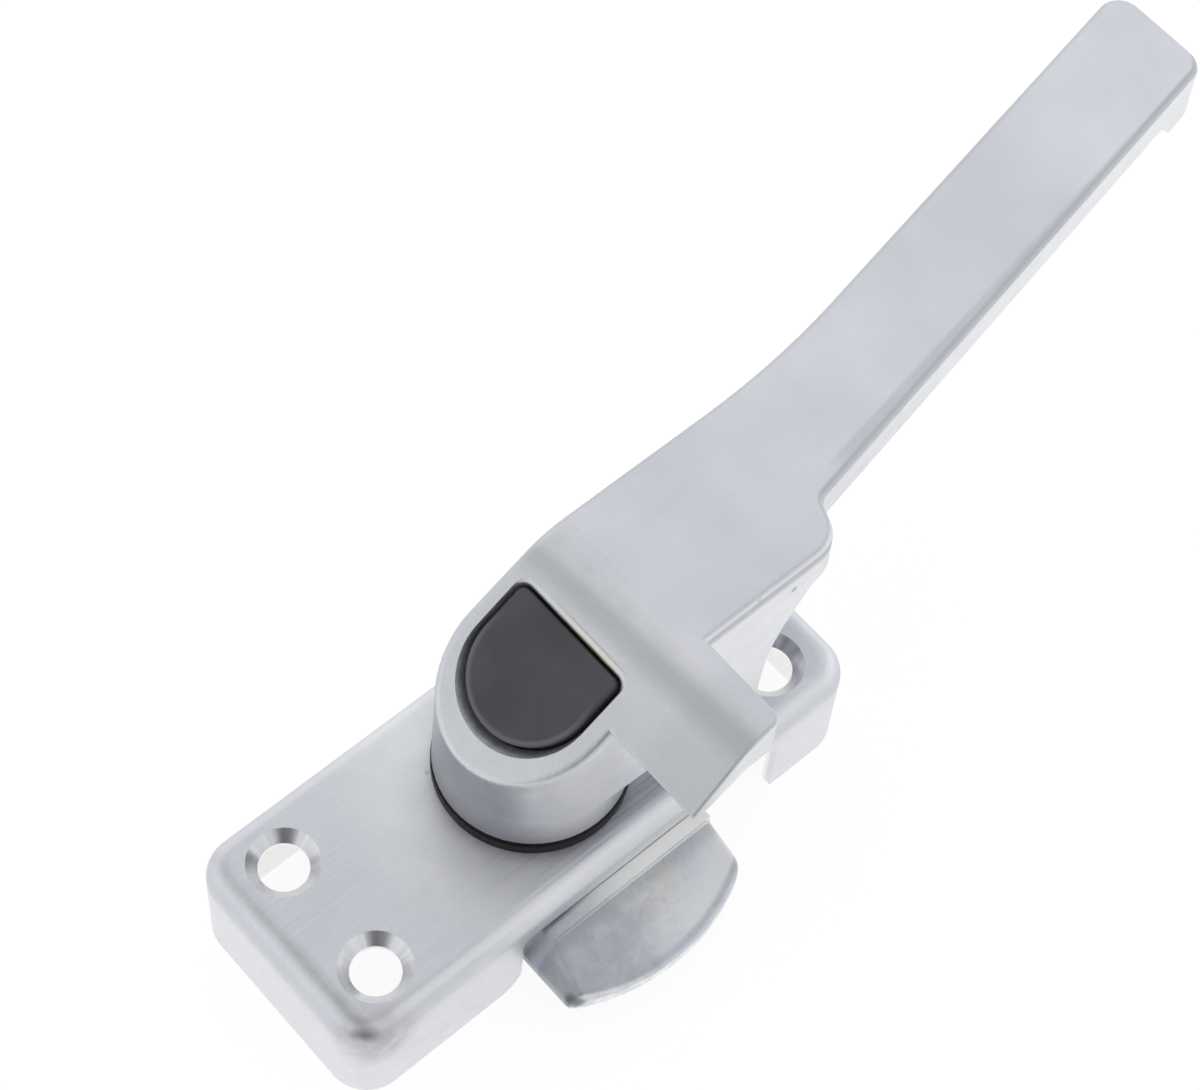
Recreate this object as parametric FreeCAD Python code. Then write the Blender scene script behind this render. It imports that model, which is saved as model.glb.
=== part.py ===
import FreeCAD, Part
import math
import os

from FreeCAD import Placement, Rotation, Vector

# Casement window latch: hollow base, cranked lever with a push button in its tilted face,
# and a tongue that turns with the lever. Millimetres, +Z up. The origin is on the lever's
# turning axis at the mounting plane, +X runs towards the grip and -Y towards the tongue.

# Housing
base_length = 75.8
base_width = 30.8
base_height = 15.5
base_corner_r = 5.0
base_edge_r = 2.8
base_wall = 1.4
base_top = 2.0
slot_left = 14.0
slot_right = 25.3
slot_room = 0.8
slot_corner_r = 1.5
slot_foot_r = 3.3

# Fixing holes, countersunk from above
hole_spacing_x = 59.4
hole_spacing_y = 16.4
hole_r = 3.0
sink_r = 4.35

# Bearing of the lever in the housing
bore_r = 5.0
running_gap = 0.05
collar_r = 9.0
collar_drop = 15.0
boss_r = 8.0
boss_depth = 2.6
relief_r = 5.9
relief_depth = 2.6
relief_margin_deg = 2.0
turn_deg = 90.0
ring_r = 11.6
ring_height = 2.0
ring_gap = 0.4
ring_edge = 0.4
ring_fit = 0.1
plate_gap = 0.1
collar_gap = 0.4

# Lever outline, seen from above at the top of the lever
lever_top = 43.3
hub_r = 10.95
draft_deg = 1.24
body_depth = 21.1
body_fall = 2.0
body_right_end = 34.5
body_corner_r = 4.4
neck_angle_deg = 68.0
neck_r = 1.5
crank_deg = 10.97
crank_x = 44.9
crank_r = 115.0
grip_width = 14.8
grip_end = 114.5
grip_tip_r = 3.0
top_edge_r = 1.0

# Lever seen from the side
grip_depth = 5.1
heel_x = 24.35
heel_bend_x = 25.2
heel_bend_drop = 13.7
heel_bend_r = 18.0
heel_top_x = 31.3
heel_r = 3.0
tip_block_depth = 8.3
tip_block_length = 5.5
tip_block_ramp = 2.5
lever_wall = 2.1

# Tilted face in the lever's hub and its D-shaped recess
face_drop = 5.9
face_slope = 0.6
bend_r = 12.0
recess_fit = 0.2
recess_wall = 1.5
recess_depth = 8.2
mouth_low = 1.1
mouth_high = 1.0
mouth_left = 0.35
mouth_right = 0.65
mouth_depth = 1.6

# Wing on the tongue's side of the lever
wing_near = 1.2
wing_far = 14.7
wing_reach = 24.2
wing_taper = 1.2
wing_edge = 1.2
wing_rise = 0.165
wing_corner_r = 1.5
wing_edge_r = 0.45
wing_near_r = 0.25

# Push button, lock pin and spring, measured along the tilted face's normal
button_r = 8.1
button_x = -0.4
button_y = 0.48
button_flat = 5.75
button_corner_r = 1.0
button_sunk = 0.2
button_depth = 5.5
button_edge = 0.45
button_travel = 2.0
pocket_r = 3.5
pocket_depth = 3.0
stem_r = 2.2
stem_depth = 2.3
pin_x = -0.8
pin_r = 1.2
pin_head_r = 1.6
pin_head = 1.0
pin_end = 16.8
pin_seat = 1.2
pin_clearance = 0.3
head_clearance = 0.2
head_play = 0.1
head_overrun = 0.4
spring_wire_r = 0.25
spring_r = 2.75
spring_turns = 5.0

# Spindle under the lever, tongue and its screw
square_size = 7.0
square_fit = 0.05
friction_height = 0.5
tongue_half = 13.15
tongue_reach = 26.3
tongue_hub_r = 9.0
tongue_side_start = 12.6
tongue_left_r = 1.5
tongue_right_r = 2.5
step_y = 17.0
step_drop = 0.8
rim_thickness = 2.1
rim_edge_r = 0.9
lead_width = 2.6
lead_foot = 1.4
lead_edge_r = 1.2
washer_r = 6.0
washer_height = 0.8
screw_r = 2.5
screw_length = 9.0
screw_room = 1.0
screw_head_r = 4.6
screw_head = 2.5
screw_clearance = 0.5
cross_width = 1.0
cross_length = 5.0
cross_depth = 1.3

# Worked out from the driving dimensions
face_height = lever_top - face_drop
body_bottom = lever_top - body_depth
heel_bend_z = lever_top - heel_bend_drop
collar_top = face_height - collar_drop
boss_bottom = base_height - base_top - boss_depth
recess_r = button_r + recess_fit
recess_flat = button_flat + recess_fit
recess_corner_r = button_corner_r + recess_fit
tongue_top = boss_bottom - friction_height
tongue_bottom = screw_clearance + screw_head + washer_height
slot_height = tongue_top + slot_room
rim_height = tongue_bottom + rim_thickness
lead_height = tongue_bottom + lead_foot
journal_r = bore_r - running_gap
counterbore_r = collar_r + collar_gap
lever_bottom = base_height + ring_height + ring_gap
roof = collar_top + collar_gap
crank = math.tan(math.radians(crank_deg))
crank_cos = math.cos(math.radians(crank_deg))
tilt_deg = math.degrees(math.atan(face_slope))
bend_x = (lever_top - face_height) / face_slope
lever_height = lever_top - lever_bottom
grip_left = hub_r - crank * crank_x
grip_right = grip_left - grip_width / crank_cos
grip_bottom = lever_top - grip_depth
tip_inside = grip_end - tip_block_length - tip_block_ramp

# How far cutters run past the faces that they cut
below = 5.0
above = 5.0
past = 1.0


def rounded_outline(corners):
    """Closed flat wire through (x, y, radius) corners, each turned by a tangent arc."""
    count = len(corners)
    stretches = []
    for i in range(count):
        here = Vector(corners[i][0], corners[i][1], 0)
        before = Vector(corners[i - 1][0], corners[i - 1][1], 0)
        after = Vector(corners[(i + 1) % count][0], corners[(i + 1) % count][1], 0)
        radius = corners[i][2]
        arrive = (here - before).normalize()
        leave = (after - here).normalize()
        turn = arrive.getAngle(leave)
        if radius == 0:
            stretches.append((here, None, here))
            continue
        reach = radius * math.tan(turn / 2)
        bulge = radius / math.cos(turn / 2) - radius
        middle = here + (leave - arrive).normalize() * bulge
        stretches.append((here - arrive * reach, middle, here + leave * reach))
    edges = []
    for i in range(count):
        start, middle, end = stretches[i]
        following = stretches[(i + 1) % count][0]
        if middle is not None:
            edges.append(Part.Arc(start, middle, end).toShape())
        if (following - end).Length > 1e-6:
            edges.append(Part.makeLine(end, following))
    return Part.Wire(edges)


def prism(outline, bottom, top):
    """Upright prism on a flat outline."""
    face = Part.Face(outline)
    face.translate(Vector(0, 0, bottom))
    return face.extrude(Vector(0, 0, top - bottom))


def side_slab(outline, y_low, y_high):
    """Prism along Y on an outline drawn as (x, z)."""
    face = Part.Face(outline)
    face.rotate(Vector(0, 0, 0), Vector(1, 0, 0), 90)
    face.translate(Vector(0, y_high, 0))
    return face.extrude(Vector(0, y_low - y_high, 0))


def disc(radius, bottom, top, x=0, y=0):
    return Part.makeCylinder(radius, top - bottom, Vector(x, y, bottom))


def on_face(shape):
    """Puts a shape drawn flat at z = 0 on the tilted face, its normal along the face's."""
    face = Placement(Vector(0, 0, face_height), Rotation(Vector(0, 1, 0), -tilt_deg))
    moved = shape.copy()
    moved.Placement = face.multiply(shape.Placement)
    return moved


def fillet_at(shape, radius, wanted):
    edges = [edge for edge in shape.Edges if wanted(edge)]
    return shape.makeFillet(radius, edges)


def level(edge, height):
    box = edge.BoundBox
    return abs(box.ZMin - height) < 1e-4 and abs(box.ZMax - height) < 1e-4


def base_outline(inset):
    x = base_length / 2 - inset
    y = base_width / 2 - inset
    r = base_corner_r - inset
    return rounded_outline([(-x, -y, r), (x, -y, r), (x, y, r), (-x, y, r)])


def housing():
    """Hollow base with the bearing collar, four countersunk holes and the tongue's slot."""
    shell = prism(base_outline(0), 0, base_height)
    shell = fillet_at(shell, base_edge_r, lambda edge: level(edge, base_height))
    ceiling = base_height - base_top
    hollow = prism(base_outline(base_wall), -below, ceiling)
    hollow = fillet_at(hollow, base_edge_r - base_wall, lambda edge: level(edge, ceiling))
    shell = shell.cut(hollow)
    shell = shell.fuse(disc(collar_r, ceiling + base_top / 2, collar_top))
    shell = shell.fuse(disc(boss_r, boss_bottom, ceiling + base_top / 2))
    cuts = [disc(bore_r, -below, collar_top + above), slot_cutter(), relief_cutter()]
    sink_depth = sink_r - hole_r
    for sx in (-1, 1):
        for sy in (-1, 1):
            x = sx * hole_spacing_x / 2
            y = sy * hole_spacing_y / 2
            cuts.append(disc(hole_r, 0, base_height + above, x, y))
            cuts.append(Part.makeCone(hole_r, sink_r, sink_depth, Vector(x, y, base_height - sink_depth)))
    return shell.cut(cuts).removeSplitter()


def slot_cutter():
    """Slot for the tongue, open to the mounting plane, with one rounded foot."""
    foot = -slot_left - slot_foot_r - base_wall
    outline = rounded_outline([
        (-slot_left, slot_height, slot_corner_r),
        (-slot_left, 0, slot_foot_r),
        (foot, 0, 0),
        (foot, -below, 0),
        (slot_right, -below, 0),
        (slot_right, slot_height, slot_corner_r),
    ])
    return side_slab(outline, -base_width / 2 - below, -base_width / 2 + 2 * base_wall)


def relief_cutter():
    """Stepped quadrant of the collar in which the lock pin's head runs and stops the lever."""
    low = collar_top - relief_depth
    ring = disc(collar_r + below, low, collar_top + above)
    ring = ring.cut(disc(relief_r, low - past, collar_top + above + past))
    head_x = abs(pin_point(pin_end)[0])
    half = math.degrees(math.asin(pin_head_r / head_x)) + relief_margin_deg
    sweep = turn_deg + 2 * half
    sector = Part.makeCylinder(collar_r + 2 * below, collar_top - base_height + 2 * above,
                               Vector(0, 0, base_height), Vector(0, 0, 1), sweep)
    sector.rotate(Vector(0, 0, 0), Vector(0, 0, 1), -half)
    return ring.common(sector)


def bearing_ring():
    ring = disc(ring_r, base_height, base_height + ring_height)
    top = base_height + ring_height
    rim = [edge for edge in ring.Edges if level(edge, top)]
    ring = ring.makeChamfer(ring_edge, rim)
    return ring.cut(disc(collar_r + ring_fit, base_height - past, top + past))


def pin_point(depth):
    """The lock pin's axis at a depth under the tilted face, as (x, z)."""
    tilt = math.radians(tilt_deg)
    x = pin_x * math.cos(tilt) + depth * math.sin(tilt)
    z = face_height + pin_x * math.sin(tilt) - depth * math.cos(tilt)
    return x, z


def lever_outline(inset):
    """Hub, deep body and cranked grip seen from above, drawn in by an inset."""
    r = hub_r - inset
    slant = inset / crank_cos
    left = grip_left - slant
    right = grip_right + slant
    end = grip_end - inset
    neck = math.radians(neck_angle_deg)
    neck_dx = math.cos(neck)
    neck_dy = math.sin(neck)
    # Corner of the body on the tongue's side, then where the neck meets the grip
    corner_x = body_right_end - inset * math.tan(neck / 2)
    reach = (right + crank * corner_x + r) / (neck_dy - crank * neck_dx)
    meet_x = corner_x + reach * neck_dx
    meet_y = -r + reach * neck_dy
    crank_corner = (r - left) / crank
    tip_r = max(grip_tip_r - inset, 0.5)
    corners = [
        (0, -r, 0),
        (corner_x, -r, max(body_corner_r - inset, 0.5)),
        (meet_x, meet_y, neck_r + inset),
        (end, right + crank * end, tip_r),
        (end, left + crank * end, tip_r),
        (crank_corner, r, crank_r + inset),
        (0, r, 0),
    ]
    outline = rounded_outline(corners)
    closing = [edge for edge in outline.Edges if abs(edge.BoundBox.XMax) > 1e-4]
    closing.append(Part.Arc(Vector(0, r, 0), Vector(-r, 0, 0), Vector(0, -r, 0)).toShape())
    return Part.Wire(Part.__sortEdges__(closing))


def drafted(inset):
    """The lever's outline from under the hub to above the top, wider towards the bottom."""
    widening = math.tan(math.radians(draft_deg))
    low = lever_outline(inset - widening * (lever_top - lever_bottom))
    low.translate(Vector(0, 0, lever_bottom))
    high = lever_outline(inset + widening * above)
    high.translate(Vector(0, 0, lever_top + above))
    return Part.makeLoft([low, high], True, True)


def top_line():
    """Top of the lever seen from the side, as corners from the hub to past the grip."""
    start = -hub_r - below
    return [
        (start, face_height + face_slope * start, 0),
        (bend_x, lever_top, bend_r),
        (grip_end + above, lever_top, 0),
    ]


def side_outline(drop):
    """Lever seen from the side; a drop lowers the top line for the hollow's ceiling."""
    end = grip_end + above
    top = [(x, z - drop, r) for x, z, r in top_line()]
    tip = grip_end - tip_block_length
    bottom = [
        (end, lever_top - tip_block_depth, 0),
        (tip, lever_top - tip_block_depth, 0),
        (tip_inside, grip_bottom, 0),
        (heel_top_x, grip_bottom, heel_r),
        (heel_bend_x, heel_bend_z, heel_bend_r),
        (heel_x, body_bottom - body_fall, 0),
        (0, body_bottom, 0),
        (-hub_r - below, body_bottom, 0),
    ]
    return rounded_outline(top + bottom)


def lever_skin():
    """Outside of the lever without the wing, its top edges rounded."""
    skin = drafted(0).common(side_slab(side_outline(0), -base_length, base_length))
    def top_rim(edge):
        middle = edge.valueAt((edge.FirstParameter + edge.LastParameter) / 2)
        across = edge.BoundBox.XLength < 1e-3 and middle.x < grip_end - grip_tip_r
        return abs(middle.z - top_height(middle.x)) < 0.05 and not across
    skin = fillet_at(skin, top_edge_r, top_rim)
    widening = math.tan(math.radians(draft_deg))
    foot_r = hub_r + widening * lever_height
    rise = body_bottom - lever_bottom + past
    foot = Part.makeCone(foot_r, foot_r - widening * rise, rise, Vector(0, 0, lever_bottom))
    return skin.fuse(foot)


def top_height(x):
    """Height of the lever's top at x, with the soft bend."""
    half = math.radians(tilt_deg) / 2
    reach = bend_r * math.tan(half)
    flat_start = bend_x + reach
    slope_end = bend_x - reach * math.cos(2 * half)
    if x >= flat_start:
        return lever_top
    if x <= slope_end:
        return face_height + face_slope * x
    return lever_top - bend_r + math.sqrt(bend_r ** 2 - (x - flat_start) ** 2)


def wing():
    """Flat wing beside the tilted face, thin at its near edge, over the tongue."""
    tilt = math.radians(tilt_deg)
    near_z = face_height + face_slope * wing_near
    low_x = wing_near + wing_edge * math.sin(tilt)
    low_z = near_z - wing_edge * math.cos(tilt)
    far_z = low_z + wing_rise * (wing_far - low_x)
    profile = rounded_outline([
        (wing_near, near_z, 0),
        (bend_x, lever_top, bend_r),
        (wing_far, lever_top, 0),
        (wing_far, far_z, wing_corner_r),
        (low_x, low_z, 0),
    ])
    slab = side_slab(profile, -wing_reach - below, 0)
    root = hub_r - top_edge_r
    plan = rounded_outline([
        (wing_near - below, -root, 0),
        (wing_near - below, -wing_reach, 0),
        (wing_near, -wing_reach, 0),
        (wing_far, -wing_reach + wing_taper, wing_corner_r),
        (wing_far, -root, 0),
    ])
    blank = slab.common(prism(plan, body_bottom, lever_top + above))
    def outer_rim(edge):
        middle = edge.valueAt((edge.FirstParameter + edge.LastParameter) / 2)
        on_top = abs(middle.z - top_height(middle.x)) < 0.02
        at_tip = middle.y < -wing_reach + wing_taper
        at_far = middle.x > wing_far - wing_corner_r / 2
        return on_top and (at_tip or at_far) and middle.y < -root - 1e-3
    blank = fillet_at(blank, wing_edge_r, outer_rim)
    def near_rim(edge):
        box = edge.BoundBox
        return box.XMax < wing_near + 1e-3 and abs(box.ZMax - near_z) < 1e-3
    return fillet_at(blank, wing_near_r, near_rim)


def lever_hollow():
    """Space inside the walls of the body and the grip, round the hub's own wall."""
    ceiling = side_outline(lever_wall)
    inside = drafted(lever_wall).common(side_slab(ceiling, -base_length, base_length))
    room = Part.makeBox(tip_inside, 2 * base_length, lever_top, Vector(0, -base_length, 0))
    return inside.common(room)


def arch_outline(radius, x, y, flat, corner_r):
    """D shape on the tilted face: half circle below, straight edge across its upper side."""
    low = x - radius
    return rounded_outline([
        (low, y - radius, radius),
        (flat, y - radius, corner_r),
        (flat, y + radius, corner_r),
        (low, y + radius, radius),
    ])


def recess_prism(wall, low, high):
    """Recess of the button, or with a wall the material that stays round it."""
    outline = arch_outline(recess_r + wall, button_x, button_y, recess_flat + wall,
                           recess_corner_r + wall)
    return on_face(prism(outline, low, high))


def recess_mouth():
    """Mouth of the recess: sloping round its bow and rounded along its straight side."""
    sections = []
    for degrees in (0, 30, 60, 90):
        angle = math.radians(degrees)
        slope = math.cos(angle)
        spread = (mouth_left + mouth_right) / 2 * slope
        x = button_x - (mouth_low * slope - spread)
        y = button_y + (mouth_left - mouth_right) / 2 * slope
        flat = recess_flat + mouth_high * (1 - math.sin(angle))
        outline = arch_outline(recess_r + spread, x, y, flat, recess_corner_r + spread)
        outline.translate(Vector(0, 0, -mouth_depth * (1 - slope)))
        sections.append(outline)
    return on_face(Part.makeLoft(sections, True, False))


def lever():
    """One casting: hub, tilted face, wing, deep body, hollow grip and the spindle."""
    solid = lever_skin().fuse(wing())
    keep = disc(hub_r, 0, lever_top)
    keep = keep.fuse(recess_prism(recess_wall, -recess_depth - recess_wall, 0))
    solid = solid.cut(lever_hollow().cut(keep))
    solid = solid.cut(disc(counterbore_r, lever_bottom - past, roof))
    solid = solid.cut([recess_prism(0, -recess_depth, above), recess_mouth()])
    pin_way = disc(pin_r + pin_clearance, -pin_end, 0, pin_x)
    head_way = disc(pin_head_r + head_clearance, -pin_end - button_travel - head_overrun,
                    -pin_end + pin_head + head_play, pin_x)
    solid = solid.cut([on_face(pin_way), on_face(head_way)])
    solid = solid.fuse(disc(journal_r, tongue_top, roof + past))
    half = square_size / 2
    square = Part.makeBox(square_size, square_size, tongue_top - tongue_bottom,
                          Vector(-half, -half, tongue_bottom + plate_gap))
    solid = solid.fuse(square.common(disc(journal_r, 0, roof)))
    solid = solid.cut(disc(screw_r, 0, tongue_bottom + screw_length + screw_room))
    return solid.removeSplitter()


def push_button():
    """D-shaped button with a spring pocket and a stem for the lock pin."""
    outline = arch_outline(button_r, button_x, button_y, button_flat, button_corner_r)
    low = -button_sunk - button_depth
    button = prism(outline, low, -button_sunk)
    rim = [edge for edge in button.Edges if level(edge, -button_sunk)]
    button = button.makeFillet(button_edge, rim)
    pocket_top = low + pocket_depth
    pocket = disc(pocket_r, low - past, pocket_top, pin_x)
    pocket = pocket.cut(disc(stem_r, pocket_top - stem_depth, pocket_top + past, pin_x))
    seat = disc(pin_r, low - past, pocket_top + pin_seat, pin_x)
    return on_face(button.cut([pocket, seat]))


def lock_pin():
    """Round pin from the button's stem to a head under the counterbore's roof."""
    top = -button_sunk - button_depth + pocket_depth + pin_seat
    shank = disc(pin_r, -pin_end, top, pin_x)
    head = disc(pin_head_r, -pin_end, -pin_end + pin_head, pin_x)
    return on_face(shank.fuse(head).removeSplitter())


def button_spring():
    """Open coil between the recess floor and the pocket in the button."""
    low = -recess_depth
    high = -button_sunk - button_depth + pocket_depth
    rise = high - low - 2 * spring_wire_r
    pitch = rise / spring_turns
    helix = Part.makeHelix(pitch, rise, spring_r)
    helix.translate(Vector(0, 0, low + spring_wire_r))
    start = Vector(spring_r, 0, low + spring_wire_r)
    along = Vector(0, 2 * math.pi * spring_r, pitch)
    section = Part.Wire(Part.makeCircle(spring_wire_r, start, along))
    coil = Part.Wire(helix.Edges).makePipeShell([section], True, True)
    coil.translate(Vector(pin_x, 0, 0))
    return on_face(coil)


def tongue_plan():
    """Tongue seen from above: round hub, sides that widen to the blade, curved rim."""
    side = tongue_half
    rim_y = -math.sqrt(tongue_reach ** 2 - side ** 2)
    blade = rounded_outline([
        (-side, -tongue_side_start, 0),
        (-side, rim_y - below, 0),
        (side, rim_y - below, 0),
        (side, -tongue_side_start, 0),
        (tongue_hub_r, 0, 0),
        (-tongue_hub_r, 0, 0),
    ])
    blank = prism(blade, tongue_bottom, tongue_top)
    blank = blank.common(disc(tongue_reach, tongue_bottom, tongue_top))
    for sign, radius in ((-1, tongue_left_r), (1, tongue_right_r)):
        def rim_corner(edge):
            box = edge.BoundBox
            upright = box.XLength < 1e-3 and box.YLength < 1e-3
            return upright and abs(box.XMin - sign * side) < 1e-3 and box.YMin < rim_y + 1e-3
        blank = fillet_at(blank, radius, rim_corner)
    return blank.fuse(disc(tongue_hub_r, tongue_bottom, tongue_top))


def tongue():
    """Thick blade with a step beside the slot, a sloping face and a lead-in bevel."""
    blank = tongue_plan()
    reach = tongue_reach + below
    slope = (tongue_top - step_drop - rim_height) / (tongue_reach - step_y)
    far_z = rim_height - slope * below
    face_profile = Part.makePolygon([
        Vector(-2 * tongue_half, -step_y, tongue_top + above),
        Vector(-2 * tongue_half, -step_y, tongue_top - step_drop),
        Vector(-2 * tongue_half, -reach, far_z),
        Vector(-2 * tongue_half, -reach, tongue_top + above),
        Vector(-2 * tongue_half, -step_y, tongue_top + above),
    ])
    face_cut = Part.Face(face_profile).extrude(Vector(4 * tongue_half, 0, 0))
    side = tongue_half
    lead_profile = Part.makePolygon([
        Vector(-side - past, 0, lead_height),
        Vector(-side, 0, lead_height),
        Vector(-side + lead_width, 0, tongue_top),
        Vector(-side + lead_width, 0, tongue_top + above),
        Vector(-side - past, 0, tongue_top + above),
        Vector(-side - past, 0, lead_height),
    ])
    lead_cut = Part.Face(lead_profile).extrude(Vector(0, -reach, 0))
    blade = blank.cut([face_cut, lead_cut])
    rise = (tongue_top - lead_height) / lead_width
    def lead_rim(edge):
        middle = edge.valueAt((edge.FirstParameter + edge.LastParameter) / 2)
        on_bevel = abs(lead_height + rise * (middle.x + side) - middle.z) < 1e-3
        upper = middle.x > -side + lead_width / 4 and middle.y < -tongue_hub_r
        return on_bevel and upper and edge.BoundBox.YLength > 1e-3
    blade = fillet_at(blade, lead_edge_r, lead_rim)
    def rim(edge):
        middle = edge.valueAt((edge.FirstParameter + edge.LastParameter) / 2)
        on_rim = abs(math.hypot(middle.x, middle.y) - tongue_reach) < 0.05
        across = edge.BoundBox.XLength > tongue_half
        return on_rim and across and middle.z > tongue_bottom + 1e-3
    blade = fillet_at(blade, rim_edge_r, rim)
    half = square_size / 2 + square_fit
    hole = Part.makeBox(2 * half, 2 * half, tongue_top, Vector(-half, -half, 0))
    return blade.cut(hole).removeSplitter()


def friction_washer():
    washer = disc(boss_r, tongue_top, boss_bottom)
    return washer.cut(disc(bore_r + ring_fit, 0, base_height))


def tongue_washer():
    washer = disc(washer_r, tongue_bottom - washer_height, tongue_bottom)
    return washer.cut(disc(screw_r + ring_fit, 0, tongue_bottom + past))


def tongue_screw():
    """Pan head screw with a cross recess, up into the lever's square."""
    seat = tongue_bottom - washer_height
    head = disc(screw_head_r, seat - screw_head, seat)
    head = fillet_at(head, screw_head / 2, lambda edge: level(edge, seat - screw_head))
    screw = head.fuse(disc(screw_r, seat - past, tongue_bottom + screw_length))
    low = seat - screw_head
    for length, width in ((cross_length, cross_width), (cross_width, cross_length)):
        corner = Vector(-length / 2, -width / 2, low - past)
        slot = Part.makeBox(length, width, cross_depth + past, corner)
        screw = screw.cut(slot)
    return screw.removeSplitter()


def export(name, shape):
    solid = shape.Solids[0] if len(shape.Solids) == 1 else shape
    solid.exportStep(os.path.join("parts", name + ".step"))
    print(name, len(shape.Solids), "solid", shape.isValid(), round(shape.Volume, 1), "mm3")


os.makedirs("parts", exist_ok=True)
for build in (housing, bearing_ring, lever, push_button, lock_pin, button_spring, friction_washer,
              tongue, tongue_washer, tongue_screw):
    export(build.__name__, build())
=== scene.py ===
"""Window latch with push-button lock: its materials, the spring under the button, the studio."""
import math

import bpy
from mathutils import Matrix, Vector


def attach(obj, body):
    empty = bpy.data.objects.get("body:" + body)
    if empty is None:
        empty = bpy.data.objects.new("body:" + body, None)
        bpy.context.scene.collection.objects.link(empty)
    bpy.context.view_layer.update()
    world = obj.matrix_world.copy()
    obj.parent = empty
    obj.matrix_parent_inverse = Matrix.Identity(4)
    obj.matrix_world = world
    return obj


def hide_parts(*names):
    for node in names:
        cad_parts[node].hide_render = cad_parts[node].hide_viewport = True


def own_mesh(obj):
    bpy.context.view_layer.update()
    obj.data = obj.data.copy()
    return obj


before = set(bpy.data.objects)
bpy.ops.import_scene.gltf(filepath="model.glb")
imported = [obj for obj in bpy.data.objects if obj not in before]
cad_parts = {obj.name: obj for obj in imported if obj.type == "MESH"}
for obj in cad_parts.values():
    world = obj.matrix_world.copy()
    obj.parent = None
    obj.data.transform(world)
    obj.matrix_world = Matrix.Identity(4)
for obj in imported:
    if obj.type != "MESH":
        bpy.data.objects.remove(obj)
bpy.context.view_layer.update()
MM = 0.001

# Sizes of the part that the looks follow, in millimetres
FACE_HEIGHT = 37.4               # tilted face, on the turning axis
TILT = math.atan(0.6)            # of the tilted face
TILT_SIN = round(math.sin(TILT), 4)
TILT_COS = round(math.cos(TILT), 4)
BUTTON_X, BUTTON_Y = -0.4, 0.48  # centre of the button's round edge, on the tilted face
HOLE_X, HOLE_Y = 29.7, 8.2       # fixing holes, from the middle of the base
BASE_TOP = 15.5
WALL_X, WALL_Y = 37.0, 14.5      # planes inside the thickness of the base's walls
WALL_CORNER = 48.8               # the same at its rounded corners, as |x| + |y|
TONGUE_RIM = 26.3                # from the turning axis
TONGUE_LEFT = -13.15
TONGUE_STEP = -17.0              # step in the tongue's face beside the base


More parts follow.
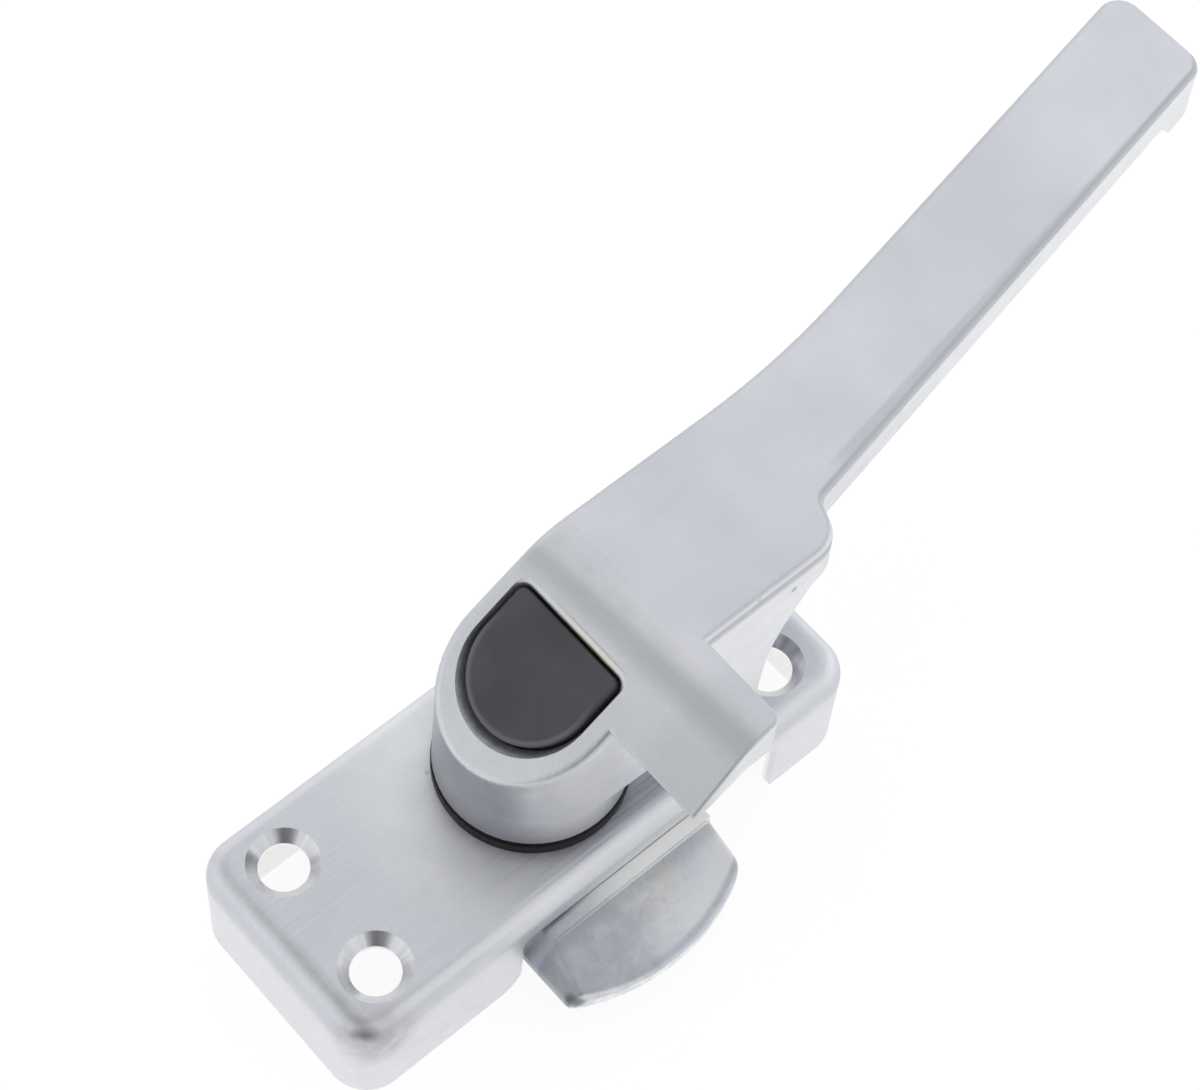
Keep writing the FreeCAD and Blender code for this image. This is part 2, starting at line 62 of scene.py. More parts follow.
class Graph:
    """A small wrapper round one node tree, so that a material reads as a list of steps."""

    def __init__(self, tree):
        self.tree = tree
        tree.nodes.clear()

    def add(self, kind, inputs=(), **settings):
        n = self.tree.nodes.new(kind)
        for key, value in settings.items():
            setattr(n, key, value)
        for key, value in dict(inputs).items():
            self.set(n.inputs[key], value)
        return n

    def set(self, socket, value):
        if isinstance(value, bpy.types.NodeSocket):
            self.tree.links.new(value, socket)
        else:
            socket.default_value = value

    # Numbers

    def math(self, operation, a, b=0.0, c=0.0, clamp=False):
        n = self.add("ShaderNodeMath", {0: a, 1: b, 2: c}, operation=operation, use_clamp=clamp)
        return n.outputs[0]

    def mul(self, product, *factors):
        for factor in factors:
            product = self.math("MULTIPLY", product, factor)
        return product

    def plus(self, a, b):
        return self.math("ADD", a, b)

    def minus(self, a, b):
        return self.math("SUBTRACT", a, b)

    def larger(self, a, b):
        return self.math("MAXIMUM", a, b)

    def size(self, a):
        return self.math("ABSOLUTE", a)

    def ramp(self, value, low, high, out_low=0.0, out_high=1.0, smooth=True):
        inputs = {0: value, 1: low, 2: high, 3: out_low, 4: out_high}
        n = self.add("ShaderNodeMapRange", inputs)
        n.interpolation_type = "SMOOTHSTEP" if smooth else "LINEAR"
        return n.outputs[0]

    def span(self, length, low, high, out_low=0.0, out_high=1.0, smooth=True):
        """A ramp over a length, its limits in millimetres."""
        return self.ramp(length, low * MM, high * MM, out_low, out_high, smooth)

    def band(self, length, rise, full, fade, end):
        """1 from full to fade, 0 before rise and after end, all in millimetres."""
        return self.mul(self.span(length, rise, full), self.span(length, fade, end, 1.0, 0.0))

    def along(self, x, y, direction):
        """How far x and y reach in a direction."""
        return self.plus(self.mul(x, direction[0]), self.mul(y, direction[1]))

    def blend(self, factor, a, b):
        return self.add("ShaderNodeMix", {0: factor, 2: a, 3: b}).outputs[0]

    # Vectors

    def coords(self):
        return self.add("ShaderNodeTexCoord").outputs["Object"]

    def normal(self):
        return self.add("ShaderNodeTexCoord").outputs["Normal"]

    def xyz(self, vector):
        return self.add("ShaderNodeSeparateXYZ", {0: vector}).outputs

    def flat(self, x, y):
        return self.add("ShaderNodeCombineXYZ", {0: x, 1: y}).outputs[0]

    def vector(self, operation, *inputs):
        return self.add("ShaderNodeVectorMath", enumerate(inputs), operation=operation).outputs

    def distance(self, a, b):
        return self.vector("DISTANCE", a, b)["Value"]

    def length(self, a):
        return self.vector("LENGTH", a)["Value"]

    def dot(self, a, b):
        return self.vector("DOT_PRODUCT", a, b)["Value"]

    def stretch(self, vector, scale, turn_z=0.0):
        inputs = {"Vector": vector, "Scale": scale, "Rotation": (0, 0, turn_z)}
        return self.add("ShaderNodeMapping", inputs).outputs[0]

    # Patterns, colours and relief

    def noise(self, vector, scale, detail=2.0, rough=0.5):
        inputs = {"Vector": vector, "Scale": scale, "Detail": detail, "Roughness": rough}
        return self.add("ShaderNodeTexNoise", inputs).outputs[0]

    def mix(self, factor, a, b):
        n = self.add("ShaderNodeMix", {0: factor, 6: a, 7: b}, data_type="RGBA")
        return n.outputs[2]

    def bump(self, height, distance, strength):
        inputs = {"Height": height, "Distance": distance, "Strength": strength}
        return self.add("ShaderNodeBump", inputs).outputs[0]


class Place:
    """The point on a surface in metres and its normal, in the frame's axes."""

    def __init__(self, g, at):
        self.x, self.y, self.z = g.xyz(at)
        self.nx, self.ny, self.nz = g.xyz(g.normal())


def rgb(r, g, b):
    """A colour written as it looks on screen, 0 to 255, for a shader socket."""
    def linear(c):
        c /= 255
        return c / 12.92 if c <= 0.04045 else ((c + 0.055) / 1.055) ** 2.4
    return (linear(r), linear(g), linear(b), 1.0)


def material(name, paint):
    """A new material whose shader is set up by paint(graph, shader)."""
    mat = bpy.data.materials.new(name)
    mat.use_nodes = True
    g = Graph(mat.node_tree)
    shader = g.add("ShaderNodeBsdfPrincipled")
    g.add("ShaderNodeOutputMaterial", {0: shader.outputs[0]})
    paint(g, shader)
    return mat


def dress(node, mat):
    """Gives a piece of the frame its material."""
    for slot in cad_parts[node].material_slots:
        slot.material = mat


def on_face(x, y, z):
    """A point given on the tilted face, in millimetres, as a place in the frame."""
    return Vector((
        x * math.cos(TILT) - z * math.sin(TILT),
        y,
        FACE_HEIGHT + x * math.sin(TILT) + z * math.cos(TILT),
    )) * MM


# Coated castings

DULL = rgb(190, 193, 200)
DULLER = rgb(170, 172, 178)
SHADOW = rgb(120, 120, 126)
PAINTED_HIGHLIGHT = rgb(250, 251, 254)
PIT = rgb(70, 72, 76)

# Small dark pits in the coating: place and radius in millimetres, depth of colour
LEVER_PITS = [((27.9, -10.95, 39.8), 0.6, 0.42), ((22.6, -10.9, 43.1), 0.5, 0.18)]
BASE_PITS = [((-10.15, 6.5, BASE_TOP), 0.4, 0.25)]

# Middle of the painted dark reflection on the base's near corner, in millimetres
DARK_REFLECTION_AT = (-34.3, -13.8, 12.4)


def spot(g, at, place, radius):
    """1 inside a small round spot at a place in millimetres, fading to 0 at its rim."""
    gap = g.distance(at, tuple(c * MM for c in place))
    return g.span(gap, 0.4 * radius, radius, 1.0, 0.0)


def pitted(g, at, colour, pits):
    """The colour with small dark pits in it."""
    for place, radius, depth in pits:
        colour = g.mix(g.mul(spot(g, at, place, radius), depth), colour, PIT)
    return colour


def satin(g, share):
    """Brushed and clear-coated die-cast metal: a share of fine lines along X and soft patches."""
    at = g.coords()
    fine = g.noise(g.stretch(at, (260, 9000, 9000)), 1.0, 4.0, 0.65)
    wide = g.noise(g.stretch(at, (60, 2400, 2400)), 1.0, 3.0, 0.6)
    clouds = g.noise(at, 70, 3.0)
    mottle = g.noise(at, 420, 3.0, 0.6)
    lines = g.plus(g.mul(fine, 0.6), g.mul(wide, 0.4))
    tone = g.plus(g.mul(lines, share), g.mul(clouds, 0.6 * (1 - share)))
    tone = g.plus(tone, g.mul(mottle, 0.4 * (1 - share)))
    tone = g.ramp(tone, 0.36, 0.64, smooth=False)
    colour = g.mix(tone, rgb(204, 207, 215), rgb(225, 227, 233))
    rough = g.ramp(g.plus(lines, mottle), 0.7, 1.3, 0.38, 0.5)
    return at, lines, clouds, colour, rough


def grip_tones(g, p, colour):
    """The grip is a little duller in the middle and paler at its end."""
    middle = g.mul(g.span(p.x, 55.0, 68.0), g.span(p.x, 92.0, 84.0, 0.0, 0.14))
    colour = g.mix(middle, colour, DULL)
    return g.mix(g.span(p.x, 84.0, 95.0, 0.0, 0.12), colour, rgb(242, 243, 249))


def bend_tones(g, p, lean, colour):
    """The bend over the tilted face: a line of painted shade at its foot, a painted highlight
    above it.
    """
    bend = g.plus(p.x, g.mul(p.y, 0.065))
    facing = g.ramp(lean, 0.8, 0.85)
    foot = g.mul(g.band(bend, 5.6, 8.0, 8.6, 9.9), facing, 0.5)
    colour = g.mix(foot, colour, rgb(188, 190, 197))
    crown = g.mul(g.band(bend, 9.4, 10.4, 11.4, 13.5), facing, 0.25)
    return g.mix(crown, colour, rgb(245, 246, 250))


def side_tones(g, at, p, rings):
    """Upright faces of the lever: streaky, with painted light that makes them paler than the top
    and paler still along the grip; greyer on the hub.
    """
    blotch = g.noise(g.stretch(at, (240, 240, 420)), 1.0, 4.0, 0.6)
    streak = g.ramp(g.plus(g.mul(rings, 0.5), g.mul(blotch, 0.5)), 0.3, 0.7)
    side = g.mix(streak, rgb(226, 228, 232), rgb(240, 241, 244))
    side = g.mix(g.span(p.x, 40.0, 70.0, 0.0, 0.45), side, rgb(250, 251, 253))
    hub = g.mix(streak, rgb(197, 199, 205), rgb(214, 216, 221))
    side = g.mix(g.span(p.x, 9.0, 1.0), side, hub)
    # The hub gets a painted highlight on its near side, and painted shade on its left and down by
    # the ring
    facing = g.flat(p.nx, p.ny)
    near = g.ramp(g.dot(facing, (-0.208, -0.978, 0)), 0.9, 0.99, 0.0, 0.3)
    side = g.mix(near, side, rgb(246, 246, 248))
    left = g.ramp(g.dot(facing, (-0.996, 0.087, 0)), 0.56, 0.9, 0.0, 0.35)
    side = g.mix(g.mul(left, g.span(p.x, 2.0, -2.0)), side, SHADOW)
    low = g.span(p.z, 22.5, 18.0, 0.0, 0.5, smooth=False)
    return g.mix(g.mul(low, g.span(p.x, 13.0, 12.0)), side, SHADOW)


def near_edge(g, p, colour):
    """The rounded upper edge on the wing's side of the lever, with painted highlights and painted
    shade.
    """
    edge = g.along(p.nx, p.ny, (0.16, -0.987))
    on_grip = g.span(p.x, 33.0, 37.0)
    # Along the grip it is painted dull as shade, and so is a narrow strip of the flat top beside
    # it
    dull = g.mul(g.ramp(edge, 0.12, 0.28), g.ramp(edge, 0.98, 0.92), on_grip, 0.8)
    colour = g.mix(dull, colour, rgb(197, 199, 206))
    strip = g.span(g.along(p.x, p.y, (0.1715, -0.987)), 9.4, 10.0, 0.0, 0.6)
    strip = g.mul(strip, g.span(p.x, 38.0, 44.0))
    strip = g.mul(strip, g.ramp(edge, 0.3, 0.12), g.ramp(p.nz, 0.5, 0.9))
    colour = g.mix(strip, colour, rgb(190, 192, 199))
    # Along the body a painted highlight runs above a line of painted shade
    on_body = g.mul(g.span(p.y, -11.6, -11.2), g.minus(1.0, on_grip), g.span(p.x, 11.0, 12.5))
    bright = g.mul(g.ramp(edge, 0.3, 0.5), g.ramp(edge, 0.88, 0.76), on_body, 0.6)
    colour = g.mix(bright, colour, rgb(248, 249, 252))
    under = g.mul(g.ramp(edge, 0.74, 0.93), g.span(p.z, 41.2, 42.4), on_body, 0.66)
    return g.mix(under, colour, DULLER)


def recess_edge_tones(g, p, lean, colour):
    """A cream band and a fine dark rim along the straight edge of the recess."""
    # How far up the slope of the tilted face, from the turning axis
    up = g.along(p.x, g.minus(p.z, FACE_HEIGHT * MM), (TILT_COS, TILT_SIN))
    across = g.band(p.y, -8.2, -5.5, -2.0, 8.0)
    pale_band = g.mul(g.band(up, 5.9, 6.4, 6.8, 7.1), across, g.ramp(lean, 0.2, 0.35), 0.6)
    colour = g.mix(pale_band, colour, rgb(224, 222, 200))
    rim = g.mul(g.band(up, 6.95, 7.1, 7.1, 7.3), across, g.ramp(lean, 0.6, 0.8), 0.45)
    return g.mix(rim, colour, rgb(150, 150, 132))


def lever_paint(g, shader):
    """Brushed top, horizontal lines round the hub, and a fine grain on the tilted face."""
    at, lines, clouds, colour, rough = satin(g, 0.4)
    p = Place(g, at)
    lean = g.along(p.nx, p.nz, (-TILT_SIN, TILT_COS))
    tilted = g.ramp(lean, 0.94, 0.985)
    upright = g.ramp(g.size(p.nz), 0.55, 0.3)
    level = g.minus(1.0, upright)
    grain = g.noise(at, 4200, 2.0)
    rings = g.noise(g.stretch(at, (25, 25, 7500)), 1.0, 2.0)
    cloudy = g.ramp(g.plus(grain, clouds), 0.7, 1.3)
    colour = g.mix(tilted, colour, g.mix(cloudy, rgb(212, 216, 220), rgb(222, 226, 230)))
    colour = grip_tones(g, p, colour)
    colour = bend_tones(g, p, lean, colour)
    colour = g.mix(upright, colour, side_tones(g, at, p, rings))
    colour = near_edge(g, p, colour)
    # The far edge and the wing are duller than the rest of the top
    far = g.mul(g.ramp(p.ny, 0.3, 0.6, 0.0, 0.3), level)
    colour = g.mix(far, colour, DULLER)
    wing = g.mul(g.span(p.y, -12.5, -17.0, 0.0, 0.33), level)
    colour = g.mix(wing, colour, DULL)
    colour = recess_edge_tones(g, p, lean, colour)
    g.set(shader.inputs["Base Color"], pitted(g, at, colour, LEVER_PITS))
    g.set(shader.inputs["Metallic"], 0.9)
    g.set(shader.inputs["Roughness"], rough)
    height = g.blend(upright, g.blend(tilted, lines, grain), rings)
    g.set(shader.inputs["Normal"], g.bump(height, 0.02 * MM, g.ramp(upright, 0.0, 1.0, 0.45, 0.3)))


def sink_tones(g, p, flat, hole):
    """Countersinks with marks that run out from the hole, with painted light that makes them paler
    on one half and near white in the hole.
    """
    spoke = g.vector("SUBTRACT", flat, hole)["Vector"]
    spoke = g.vector("NORMALIZE", spoke)["Vector"]
    marks = g.ramp(g.noise(spoke, 3.5, 2.0), 0.35, 0.7)
    colour = g.mix(marks, rgb(214, 216, 221), rgb(234, 235, 239))
    # Painted highlight on one half, and painted light near white down in the hole
    colour = g.mix(g.ramp(g.plus(p.nx, p.ny), -0.2, 0.6), colour, PAINTED_HIGHLIGHT)
    return g.mix(g.ramp(p.nz, 0.4, 0.2), colour, rgb(252, 252, 254))


def base_top_tones(g, at, p, outer, colour):
    """Top of the base and its rounded edge, where outer is 0 in the countersinks."""
    # Coarser brushing shows in front of the hub, its dark streaks painted as shade where the hub
    # and the wing shade the top
    front = g.mul(g.span(p.y, -4.0, -9.0), g.span(p.x, -16.0, -8.0), g.span(p.x, 30.0, 16.0))
    coarse = g.noise(g.stretch(at, (50, 1500, 1500)), 1.0, 3.0, 0.6)
    coarse = g.mul(g.ramp(coarse, 0.5, 0.68, 0.0, 0.45), front, g.ramp(p.nz, 0.9, 0.97), outer)
    colour = g.mix(coarse, colour, rgb(168, 162, 164))
    # A painted highlight brightens the rounded edge where it starts, most of all on the tongue's
    # side
    ridge = g.mul(g.ramp(p.nz, 0.99, 0.93), g.ramp(p.nz, 0.7, 0.86), outer)
    ridge = g.mul(ridge, g.ramp(p.ny, -0.05, -0.25, 0.22, 0.75))
    colour = g.mix(ridge, colour, PAINTED_HIGHLIGHT)
    # A broken dark line of painted shade follows the short edge on the left
    line = g.mul(g.band(p.x, -36.3, -35.3, -35.2, -33.9), g.span(p.y, 10.0, -10.0, 0.12, 0.42))
    line = g.mul(line, g.ramp(g.noise(at, 260, 2.0), 0.3, 0.6, 0.6, 1.0), outer)
    colour = g.mix(line, colour, rgb(150, 150, 156))
    # Painted light makes the top paler round the left of the ring
    around = g.span(g.length(g.flat(p.x, p.y)), 26.0, 14.0, 0.0, 0.45)
    return g.mix(g.mul(around, g.span(p.x, 0.0, -10.0), outer), colour, rgb(250, 252, 255))


def wall_tones(g, at, p):
    """Walls of the base: as cast outside, with painted light that makes them paler than the top,
    paler still below and white in the hollow.
    """
    cast = g.ramp(g.noise(at, 900, 3.0, 0.6), 0.1, 0.9)
    upper = g.mix(cast, rgb(222, 224, 228), rgb(231, 232, 236))
    lower = g.mix(cast, rgb(229, 231, 235), rgb(238, 239, 243))
    wall = g.mix(g.span(p.z, 13.2, 10.5), upper, lower)
    # Above 0 on the outer faces, below 0 on the walls of the hollow
    x, y = g.size(p.x), g.size(p.y)
    outside = g.larger(g.minus(x, WALL_X * MM), g.minus(y, WALL_Y * MM))
    outside = g.larger(outside, g.minus(g.plus(x, y), WALL_CORNER * MM))
    return g.mix(g.span(outside, 0.2, -0.2), wall, rgb(254, 254, 252))


def base_paint(g, shader):
    """Brushed top with four smooth, shiny countersinks, and cast walls."""
    at, lines, _, colour, rough = satin(g, 0.66)
    p = Place(g, at)
    # The base is folded on both its middle lines, so that one hole stands for all four
    flat = g.flat(g.size(p.x), g.size(p.y))
    hole = (HOLE_X * MM, HOLE_Y * MM, 0)
    sink = g.span(g.distance(flat, hole), 4.25, 4.4, 1.0, 0.0)
    outer = g.minus(1.0, sink)
    upright = g.mul(g.ramp(g.size(p.nz), 0.75, 0.3), outer)
    # Painted light makes the base paler towards +X
    colour = g.mix(g.span(p.x, -36.0, 24.0, 0.0, 0.5), colour, rgb(240, 242, 248))
    colour = g.mix(sink, colour, sink_tones(g, p, flat, hole))
    colour = base_top_tones(g, at, p, outer, colour)
    colour = g.mix(upright, colour, wall_tones(g, at, p))
    # Painted shade makes the rounded edge duller where it turns into the wall
    turn = g.mul(g.ramp(p.nz, 0.78, 0.5), g.ramp(p.nz, 0.0, 0.3), outer, 0.45)
    colour = g.mix(turn, colour, rgb(196, 198, 204))
    # A painted dark reflection on the near corner
    uneven = g.ramp(g.noise(at, 600, 3.0, 0.6), 0.35, 0.6, 0.5, 1.0)
    dark_reflection = g.distance(at, tuple(c * MM for c in DARK_REFLECTION_AT))
    dark_reflection = g.mul(g.span(dark_reflection, 6.2, 1.6), uneven, 0.34)
    colour = g.mix(dark_reflection, colour, rgb(132, 125, 130))
    g.set(shader.inputs["Base Color"], pitted(g, at, colour, BASE_PITS))
    g.set(shader.inputs["Metallic"], 0.9)
    g.set(shader.inputs["Roughness"], g.blend(sink, rough, 0.27))
    turned = g.noise(g.stretch(at, (500, 500, 6000)), 1.0, 2.0)
    height = g.blend(sink, lines, turned)
    g.set(shader.inputs["Normal"], g.bump(height, 0.02 * MM, g.ramp(upright, 0.0, 1.0, 0.6, 0.12)))


# Raw zinc of the tongue

EDGE_HIGHLIGHT = rgb(252, 253, 254)


def zinc_patches(g, at, patches, bloom, specks, lines):
    """Grey patches with faint blue and tan tints, specks and scratches."""
    tint = g.noise(at, 60, 3.0)
    blue = g.noise(at, 95, 3.0)
    colour = g.mix(g.ramp(patches, 0.3, 0.7), rgb(202, 207, 215), rgb(234, 239, 247))
    colour = g.mix(g.ramp(bloom, 0.3, 0.7, 0.3, 0.0), colour, rgb(178, 182, 188))
    colour = g.mix(g.ramp(tint, 0.46, 0.64, 0.0, 0.5), colour, rgb(222, 217, 206))
    colour = g.mix(g.ramp(blue, 0.47, 0.63, 0.0, 0.6), colour, rgb(206, 216, 236))
    colour = g.mix(g.ramp(specks, 0.52, 0.72, 0.0, 0.4), colour, rgb(176, 178, 180))
    return g.mix(g.ramp(lines, 0.5, 0.8, 0.0, 0.3), colour, rgb(190, 193, 198))


def zinc(g, shader):
    """Raw zinc casting: soft patches, a dull left side, painted highlights on the rim, the edges
    and the land, and painted shade by the step and the slot.
    """
    at = g.coords()
    x, y, z = g.xyz(at)
    reach = g.length(g.flat(x, y))
    patches = g.noise(at, 130, 4.0, 0.55)
    bloom = g.noise(at, 520, 3.0, 0.6)
    specks = g.noise(at, 1500, 3.0, 0.6)
    lines = g.noise(g.stretch(at, (300, 3800, 3800), 0.5), 1.0, 3.0)
    colour = zinc_patches(g, at, patches, bloom, specks, lines)
    # Duller to the left, and painted light makes it paler towards the curved rim
    colour = g.mix(g.span(x, 3, -9, 0.0, 0.42), colour, rgb(168, 170, 176))
    pale = g.band(reach, TONGUE_RIM - 8.3, TONGUE_RIM - 1.7, TONGUE_RIM - 1.3, TONGUE_RIM - 0.7)
    colour = g.mix(g.mul(pale, g.span(x, -6, 6), 0.75), colour, rgb(248, 250, 253))
    # A dull line of painted dark reflection inside the rim and along the left edge
    rim_line = g.band(reach, TONGUE_RIM - 1.3, TONGUE_RIM - 0.7, TONGUE_RIM - 0.4,
                      TONGUE_RIM - 0.15)
    rim_line = g.mul(rim_line, g.span(x, -8, -2, 0.0, 0.35))
    left_line = g.band(x, TONGUE_LEFT - 0.05, TONGUE_LEFT + 0.25, TONGUE_LEFT + 0.95,
                       TONGUE_LEFT + 1.55)
    below_step = g.span(y, TONGUE_STEP + 0.6, TONGUE_STEP - 0.4)
    dull = g.mul(g.larger(rim_line, left_line), below_step, 0.36)
    colour = g.mix(dull, colour, rgb(146, 149, 156))
    # Painted highlights right at the edge, most of all low on the rim
    edge_glint = g.mul(g.span(reach, TONGUE_RIM - 0.4, TONGUE_RIM - 0.1), g.span(x, 12, 20, 1.0, 0.25))
    left = g.span(x, TONGUE_LEFT + 0.05, TONGUE_LEFT - 0.15, 0.0, 0.7)
    edge_glint = g.mul(g.larger(edge_glint, left), g.ramp(g.plus(bloom, specks), 0.85, 1.15, 0.7, 1.0))
    upper = g.span(x, -1, -8, 0.25, 0.6)
    edge_glint = g.mul(edge_glint, g.blend(g.span(z, 5.7, 4.9), upper, 1.0))
    colour = g.mix(edge_glint, colour, EDGE_HIGHLIGHT)
    colour = g.mix(g.mul(spot(g, at, (-12.5, -22.8, 5.5), 1.7), 0.75), colour, rgb(78, 80, 84))
    # The land beside the base gets a painted highlight to the right, with painted shade at the
    # foot below its step
    foot = g.band(y, TONGUE_STEP - 2.4, TONGUE_STEP - 0.6, TONGUE_STEP - 0.25, TONGUE_STEP - 0.05)
    colour = g.mix(g.mul(foot, g.span(z, 9.9, 9.7), 0.35), colour, rgb(150, 153, 158))
    land = g.mul(g.span(y, TONGUE_STEP - 0.25, TONGUE_STEP), g.span(z, 9.2, 9.9))
    pale_band = g.mul(land, g.span(x, -11, 4, 0.1, 1.0))
    colour = g.mix(g.mul(pale_band, 0.9), colour, rgb(252, 253, 251))
    # Painted shadow beside the base, at the left of the land
    slot_shadow = g.mul(land, g.span(y, -15.9, -15.4), g.span(x, -3, -9, 0.0, 0.6))
    colour = g.mix(slot_shadow, colour, rgb(96, 98, 102))
    g.set(shader.inputs["Base Color"], colour)
    # The painted highlights are also more metallic
    highlighted = g.larger(pale_band, edge_glint)
    g.set(shader.inputs["Metallic"], g.math("MULTIPLY_ADD", highlighted, 0.5, 0.4))
    g.set(shader.inputs["Roughness"], g.ramp(patches, 0.3, 0.7, 0.36, 0.5))
    height = g.plus(g.mul(lines, 0.4), g.mul(patches, 0.4))
    height = g.plus(height, g.mul(specks, 0.2))
    # The land is worn round, so that it leans away from the base
    lean = g.span(y, TONGUE_STEP - 0.1, TONGUE_STEP + 1.7, 0.0, 24.0, smooth=False)
    lean = g.mul(lean, g.span(x, -13, -2))
    g.set(shader.inputs["Normal"], g.bump(g.plus(height, lean), 0.05 * MM, 0.6))


# Plastic and plated steel

def plastic(g, shader, dark, light, rough, grain, shine):
    """Moulded plastic with a fine even grain."""
    at = g.coords()
    fine = g.noise(at, grain, 2.0)
    broad = g.noise(at, 120, 2.0)
    colour = g.mix(g.ramp(broad, 0.3, 0.7), dark, light)
    g.set(shader.inputs["Base Color"], colour)
    g.set(shader.inputs["Roughness"], g.ramp(fine, 0.3, 0.7, rough - 0.06, rough + 0.06))
    g.set(shader.inputs["Specular IOR Level"], shine)
    g.set(shader.inputs["Normal"], g.bump(fine, 0.02 * MM, 0.5))
    return at, colour


def button_paint(g, shader):
    """Grained grey plastic, with a painted highlight along its curved edge and faint scuffs."""
    at, colour = plastic(g, shader, rgb(69, 69, 75), rgb(80, 80, 86), 0.5, 5200, 0.5)
    gap = g.distance(at, tuple(on_face(BUTTON_X, BUTTON_Y, 0)))
    # Painted highlight along the curved edge
    edge = g.mul(g.span(gap, 7.2, 7.7), g.span(gap, 8.2, 7.9), g.span(g.xyz(at)[0], 3.0, -2.5))
    colour = g.mix(g.mul(edge, 0.55), colour, rgb(128, 128, 132))
    scuff = g.noise(g.stretch(at, (500, 1500, 500), 0.8), 1.0, 4.0, 0.6)
    colour = g.mix(g.ramp(scuff, 0.62, 0.78, 0.0, 0.35), colour, rgb(100, 100, 104))
    g.set(shader.inputs["Base Color"], colour)


def ring_paint(g, shader):
    """Black ring between the base and the lever."""
    plastic(g, shader, rgb(12, 12, 13), rgb(20, 20, 22), 0.55, 5200, 0.2)


def washer_paint(g, shader):
    """Off-white friction washer."""
    plastic(g, shader, rgb(216, 214, 206), rgb(226, 225, 218), 0.45, 4200, 0.5)


def plated(colour, marks):
    """Zinc-plated steel: bright, with tool marks as fine as marks says along X, Y and Z."""
    def paint(g, shader):
        at = g.coords()
        lines = g.noise(g.stretch(at, marks), 1.0, 2.0)
        patches = g.ramp(g.noise(at, 300, 2.0), 0.3, 0.7, 0.0, 0.5)
        g.set(shader.inputs["Base Color"], g.mix(patches, colour, rgb(214, 212, 202)))
        g.set(shader.inputs["Metallic"], 0.95)
        g.set(shader.inputs["Roughness"], g.ramp(lines, 0.3, 0.7, 0.22, 0.38))
        g.set(shader.inputs["Normal"], g.bump(lines, 0.01 * MM, 0.4))
    return paint


lever_metal = material("lever_satin", lever_paint)
base_metal = material("base_satin", base_paint)
tongue_metal = material("tongue_zinc", zinc)
ring_plastic = material("ring_black", ring_paint)
button_plastic = material("button_grey", button_paint)
washer_plastic = material("washer_white", washer_paint)
pin_steel = material("pin_steel", plated(rgb(196, 200, 204), (400, 400, 6000)))
spring_steel = material("spring_steel", plated(rgb(176, 180, 184), (2500, 2500, 2500)))
screw_steel = material("screw_steel", plated(rgb(200, 204, 208), (1800, 1800, 4000)))

dress("housing", base_metal)
dress("lever", lever_metal)
dress("tongue", tongue_metal)
dress("bearing_ring", ring_plastic)
dress("push_button", button_plastic)
dress("friction_washer", washer_plastic)
dress("lock_pin", pin_steel)
dress("tongue_washer", screw_steel)
dress("tongue_screw", screw_steel)


# The button's spring, a coil wound at one length and carried on the handle

SPRING_FOOT = -8.2      # heights along the tilted face's axis
SPRING_TOP = -2.7
SPRING_R = 2.75
SPRING_TURNS = 5.0
WIRE_R = 0.25
PIN_X = -0.8
CLOSED_ENDS = 0.09      # how much the pitch is narrowed in the first and the last turn


def coil_spring(steps=24, sides=10):
    """Round wire wound in a helix, its end turns closed against the seats."""
    low = SPRING_FOOT + WIRE_R
    rise = SPRING_TOP - SPRING_FOOT - 2 * WIRE_R
    count = int(SPRING_TURNS * steps)
    verts, faces = [], []
    for i in range(count + 1):
        part = i / count
        angle = 2 * math.pi * SPRING_TURNS * part
        height = low + rise * (part - CLOSED_ENDS * math.sin(2 * math.pi * part))
        out = (math.cos(angle), math.sin(angle))
        for k in range(sides):
            a = 2 * math.pi * k / sides
            r = SPRING_R + WIRE_R * math.cos(a)
            verts.append(on_face(PIN_X + r * out[0], r * out[1], height + WIRE_R * math.sin(a)))
    for i in range(count):
        for k in range(sides):
            a, b = i * sides + k, i * sides + (k + 1) % sides
            faces.append((a, b, b + sides, a + sides))
    faces.append(tuple(range(sides))[::-1])
    faces.append(tuple(range(count * sides, (count + 1) * sides)))
    mesh = bpy.data.meshes.new("pressed_spring")
    mesh.from_pydata(verts, [], faces)
    mesh.update()
    for f in mesh.polygons[:-2]:
        f.use_smooth = True
    mesh.materials.append(spring_steel)
    piece = bpy.data.objects.new("pressed_spring", mesh)
    bpy.context.collection.objects.link(piece)
    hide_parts("button_spring")
    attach(piece, "handle")
    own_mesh(piece)


coil_spring()


# Floor, light and camera

FLOOR_SIZE = 8.0
FLOOR_GLOW = 0.9
LENS = 98.918
EYE = (-0.115658, -0.118306, 0.358283)
EYE_TURN = (29.476, -2.888, -41.123)


def floor():
    """Matt floor that shows near white to the camera and in reflections."""
    bpy.ops.mesh.primitive_plane_add(size=FLOOR_SIZE, location=(0, 0, -0.02 * MM))
    plane = bpy.context.object
    plane.name = "floor"
    mat = bpy.data.materials.new("floor_white")
    mat.use_nodes = True
    g = Graph(mat.node_tree)
    path = g.add("ShaderNodeLightPath").outputs
    seen = g.plus(path["Is Camera Ray"], path["Is Glossy Ray"])
    seen = g.math("ADD", seen, path["Is Transmission Ray"], clamp=True)
    glow = g.add("ShaderNodeEmission",
                 {"Color": (1, 1, 1, 1), "Strength": g.mul(seen, FLOOR_GLOW)})
    matt = g.add("ShaderNodeBsdfDiffuse", {"Color": (0.16, 0.16, 0.16, 1)})
    both = g.add("ShaderNodeAddShader", {0: glow.outputs[0], 1: matt.outputs[0]})
    g.add("ShaderNodeOutputMaterial", {0: both.outputs[0]})
    plane.data.materials.append(mat)


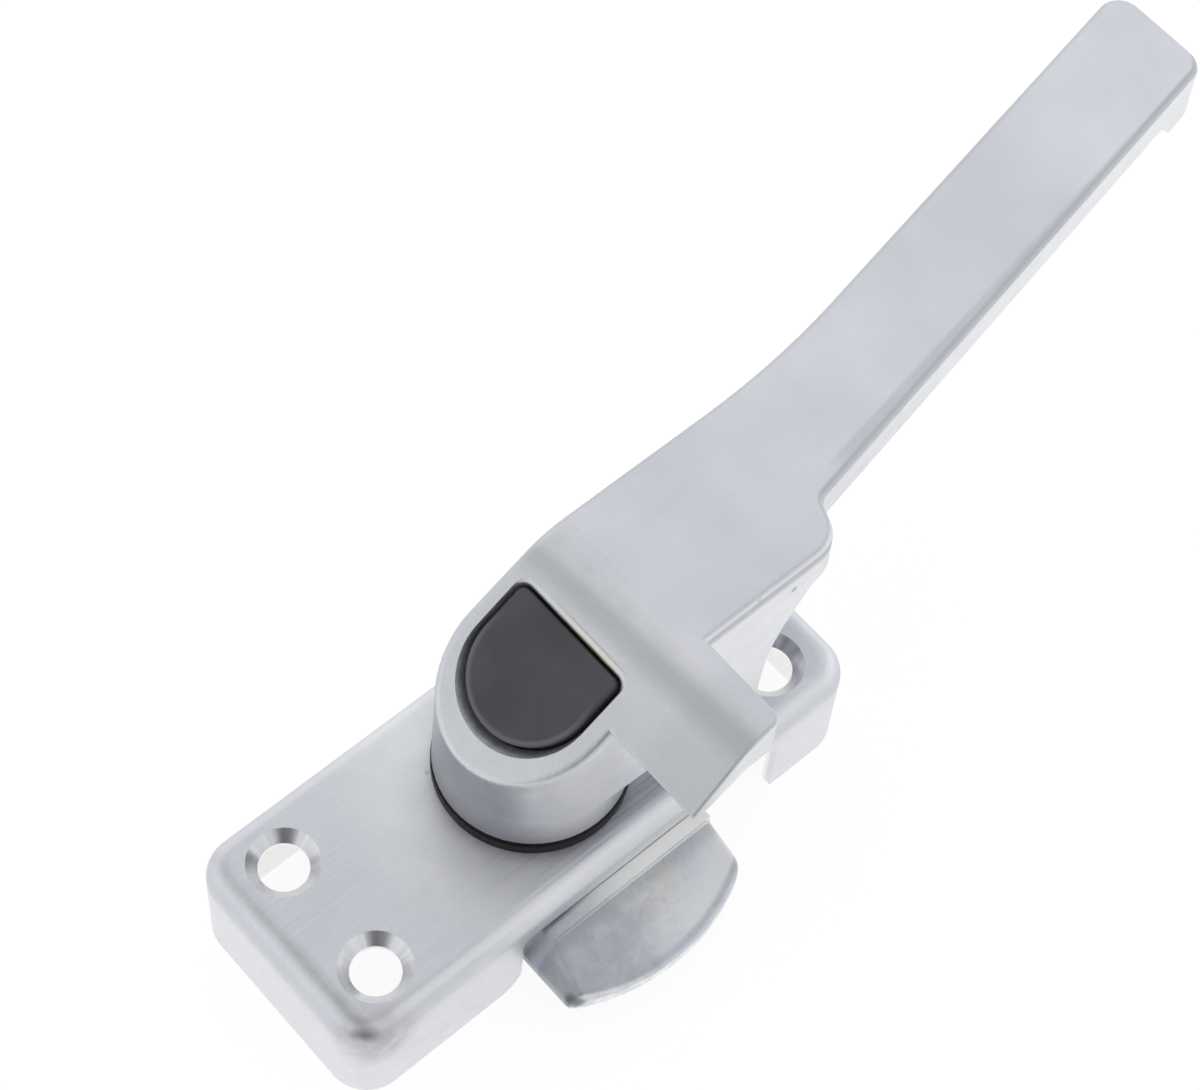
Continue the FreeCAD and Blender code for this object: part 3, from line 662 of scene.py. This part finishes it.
def sky():
    """Studio surroundings: pale walls, a dimmer ceiling and two dark flags for soft dark bands."""
    world = bpy.data.worlds.new("studio")
    world.use_nodes = True
    bpy.context.scene.world = world
    g = Graph(world.node_tree)
    way = g.add("ShaderNodeTexCoord").outputs["Generated"]
    seen = g.add("ShaderNodeLightPath").outputs["Is Camera Ray"]

    def flag(direction, wide, narrow, share):
        """The share that a flag covers, fading from a narrow to a wide angle in degrees."""
        near = g.dot(way, tuple(Vector(direction).normalized()))
        edge = (math.cos(math.radians(angle)) for angle in (wide, narrow))
        return g.mul(g.ramp(near, *edge), share)

    up = g.xyz(way)[2]
    tone = g.mix(g.ramp(up, 0.15, 0.9), (0.95, 0.95, 0.95, 1), (0.66, 0.66, 0.66, 1))
    tone = g.mix(flag((-0.63, -0.62, 0.46), 32, 10, 0.94), tone, (0.05, 0.05, 0.05, 1))
    tone = g.mix(flag((-0.20, 0.30, 0.93), 20, 5, 0.1), tone, (0.25, 0.25, 0.25, 1))
    tone = g.mix(seen, tone, (1, 1, 1, 1))
    back = g.add("ShaderNodeBackground", {"Color": tone, "Strength": 1.0})
    g.add("ShaderNodeOutputWorld", {0: back.outputs[0]})


def softbox(name, direction, size, radiance, distance=1.2):
    """A white lamp of a size in metres that shines at the latch from a direction."""
    data = bpy.data.lights.new(name, "AREA")
    data.shape = "RECTANGLE"
    data.size, data.size_y = size
    data.energy = radiance * math.pi * size[0] * size[1]
    lamp = bpy.data.objects.new(name, data)
    bpy.context.collection.objects.link(lamp)
    away = Vector(direction).normalized()
    lamp.location = away * distance
    lamp.rotation_euler = away.to_track_quat("Z", "Y").to_euler()


def camera():
    """The photo's point of view."""
    data = bpy.data.cameras.new("camera")
    data.sensor_fit = "HORIZONTAL"
    data.sensor_width = 36.0
    data.lens = LENS
    data.clip_start = 0.01
    data.clip_end = 20.0
    eye = bpy.data.objects.new("camera", data)
    bpy.context.collection.objects.link(eye)
    eye.location = EYE
    eye.rotation_euler = tuple(math.radians(a) for a in EYE_TURN)
    bpy.context.scene.camera = eye


floor()
sky()
softbox("back_right", (0.50, 0.33, 0.80), (0.9, 0.9), 0.34)
softbox("left", (-0.78, 0.35, 0.52), (0.7, 0.6), 0.21)
camera()
bpy.context.scene.view_settings.view_transform = "Standard"
